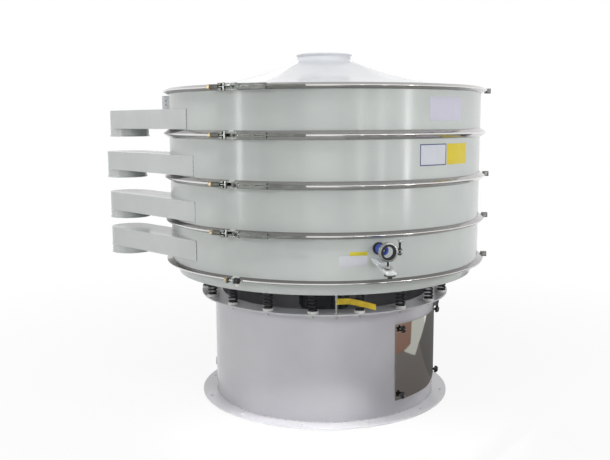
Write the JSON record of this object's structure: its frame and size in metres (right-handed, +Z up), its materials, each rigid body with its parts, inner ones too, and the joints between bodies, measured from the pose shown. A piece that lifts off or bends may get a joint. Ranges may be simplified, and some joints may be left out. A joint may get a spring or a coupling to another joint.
{
  "type": "vibrating sieve",
  "caption": "Round vibrating sieve: stacked frames with screens, clamped by V bands with lever latches, on springs over a drum base; tangential spouts and a central feed neck.",
  "frame": {"origin": "on the floor, on the machine axis, at the centre of the anchor bolts", "axes": "+Z up the machine axis; -Y towards the operator side with the latches; +X to the operator's right, so the spouts point to -X"},
  "size_m": [2.2901, 1.9644, 1.986],
  "materials": {
    "white_powder_coat": "gloss",
    "polished_steel": "polished",
    "zinc_steel": "satin",
    "brass": "satin",
    "spring_steel_black": "satin",
    "grey_plastic": "matte",
    "black_rubber": "matte",
    "black_plastic": "satin",
    "blue_plastic": "gloss",
    "yellow_plastic": "matte",
    "blank_label": "matte",
    "screen_steel": "woven"
  },
  "bodies": {
    "base": {"base_drum": "white_powder_coat", "top_flange": "white_powder_coat", "floor_flange": "white_powder_coat", "spring_cups": "grey_plastic", "spring_bolts": "zinc_steel", "springs": "spring_steel_black", "door_seal": "black_rubber", "transport_stud": "zinc_steel", "transport_tag": "yellow_plastic", "motor_cable": "black_rubber", "terminal_box": "grey_plastic"},
    "sieve_stack": {"cover": "white_powder_coat", "discharge_dome": "white_powder_coat", "vibrating_table": "white_powder_coat", "upper_cups": "grey_plastic", "stack_bolts": "zinc_steel", "clamp_bolt": "zinc_steel", "screen_rings": "screen_steel", "screen_meshes": "screen_steel", "gaskets": "black_rubber", "motor_body": "white_powder_coat", "port_ring": "black_rubber", "hose_clip": "polished_steel", "clip_bracket": "white_powder_coat", "buffer_bolt": "zinc_steel", "side_lug": "white_powder_coat", "blank_plates": "blank_label", "frame_1": "white_powder_coat", "frame_2": "white_powder_coat", "frame_3": "white_powder_coat", "frame_4": "white_powder_coat", "spout_1": "white_powder_coat", "spout_2": "white_powder_coat", "spout_3": "white_powder_coat", "spout_4": "white_powder_coat", "band_1": "polished_steel", "band_2": "polished_steel", "band_3": "polished_steel", "band_4": "polished_steel", "band_5": "polished_steel"},
    "motor_rotor": {"rotor": "zinc_steel"},
    "lead_weight": {"lead_weight": "zinc_steel"},
    "door": {"door": "polished_steel"},
    "port_cap": {"port_cap": "blue_plastic"},
    "latch_lever_1": {"latch_lever_1": "zinc_steel"},
    "draw_link_1": {"draw_link_1": "zinc_steel", "latch_nut_1": "brass"},
    "door_knob_1": {"door_knob_1": "black_plastic"},
    "latch_lever_2": {"latch_lever_2": "zinc_steel"},
    "draw_link_2": {"draw_link_2": "zinc_steel", "latch_nut_2": "brass"},
    "door_knob_2": {"door_knob_2": "black_plastic"},
    "latch_lever_3": {"latch_lever_3": "zinc_steel"},
    "draw_link_3": {"draw_link_3": "zinc_steel", "latch_nut_3": "brass"},
    "door_knob_3": {"door_knob_3": "black_plastic"},
    "latch_lever_4": {"latch_lever_4": "zinc_steel"},
    "draw_link_4": {"draw_link_4": "zinc_steel", "latch_nut_4": "brass"},
    "door_knob_4": {"door_knob_4": "black_plastic"}
  },
  "joints": [
    {"name": "stack_float", "type": "slide", "parent": "base", "child": "sieve_stack", "axis": [0, 0, 1], "range_m": [-0.01, 0.01], "stiffness_N_per_m": 399760, "springref_m": 0.02, "deforming": ["springs"]},
    {"name": "rotor_spin", "type": "hinge", "parent": "sieve_stack", "child": "motor_rotor", "pos_m": [0, 0, 0.6], "axis": [0, 0, 1], "continuous": true},
    {"name": "lead_angle", "type": "hinge", "parent": "motor_rotor", "child": "lead_weight", "pos_m": [0, 0, 0.41], "axis": [0, 0, 1], "range_deg": [0, 90]},
    {"name": "door_lift_off", "type": "slide", "parent": "base", "child": "door", "axis": [0.8829, -0.4695, 0], "range_m": [0, 0.12]},
    {"name": "cap_pull", "type": "slide", "parent": "sieve_stack", "child": "port_cap", "axis": [0.2974, -0.9548, 0], "range_m": [0, 0.035]},
    {"name": "door_knob_1_turn", "type": "hinge", "parent": "door", "child": "door_knob_1", "pos_m": [0.4067, -0.51216, 0.114], "axis": [0.8829, -0.4695, 0], "continuous": true},
    {"name": "door_knob_2_turn", "type": "hinge", "parent": "door", "child": "door_knob_2", "pos_m": [0.65203, -0.05078, 0.114], "axis": [0.8829, -0.4695, 0], "continuous": true},
    {"name": "door_knob_3_turn", "type": "hinge", "parent": "door", "child": "door_knob_3", "pos_m": [0.4067, -0.51216, 0.486], "axis": [0.8829, -0.4695, 0], "continuous": true},
    {"name": "door_knob_4_turn", "type": "hinge", "parent": "door", "child": "door_knob_4", "pos_m": [0.65203, -0.05078, 0.486], "axis": [0.8829, -0.4695, 0], "continuous": true},
    {"name": "latch_1_open", "type": "hinge", "parent": "sieve_stack", "child": "latch_lever_1", "pos_m": [-0.44689, -0.83492, 1.772], "axis": [0, 0, -1], "range_deg": [0, 108]},
    {"name": "link_1_swing", "type": "hinge", "parent": "latch_lever_1", "child": "draw_link_1", "pos_m": [-0.42381, -0.84688, 1.772], "axis": [0, 0, -1], "range_deg": [-135, 0]},
    {"name": "latch_2_open", "type": "hinge", "parent": "sieve_stack", "child": "latch_lever_2", "pos_m": [-0.44689, -0.83492, 1.538], "axis": [0, 0, -1], "range_deg": [0, 108]},
    {"name": "link_2_swing", "type": "hinge", "parent": "latch_lever_2", "child": "draw_link_2", "pos_m": [-0.42381, -0.84688, 1.538], "axis": [0, 0, -1], "range_deg": [-135, 0]},
    {"name": "latch_3_open", "type": "hinge", "parent": "sieve_stack", "child": "latch_lever_3", "pos_m": [-0.44689, -0.83492, 1.295], "axis": [0, 0, -1], "range_deg": [0, 108]},
    {"name": "link_3_swing", "type": "hinge", "parent": "latch_lever_3", "child": "draw_link_3", "pos_m": [-0.42381, -0.84688, 1.295], "axis": [0, 0, -1], "range_deg": [-135, 0]},
    {"name": "latch_4_open", "type": "hinge", "parent": "sieve_stack", "child": "latch_lever_4", "pos_m": [-0.44689, -0.83492, 1.052], "axis": [0, 0, -1], "range_deg": [0, 108]},
    {"name": "link_4_swing", "type": "hinge", "parent": "latch_lever_4", "child": "draw_link_4", "pos_m": [-0.42381, -0.84688, 1.052], "axis": [0, 0, -1], "range_deg": [-135, 0]}
  ],
  "couplings": [
    {"joint": "link_1_swing", "follows": "latch_1_open", "ratio": -1.25},
    {"joint": "link_2_swing", "follows": "latch_2_open", "ratio": -1.25},
    {"joint": "link_3_swing", "follows": "latch_3_open", "ratio": -1.25},
    {"joint": "link_4_swing", "follows": "latch_4_open", "ratio": -1.25}
  ]
}
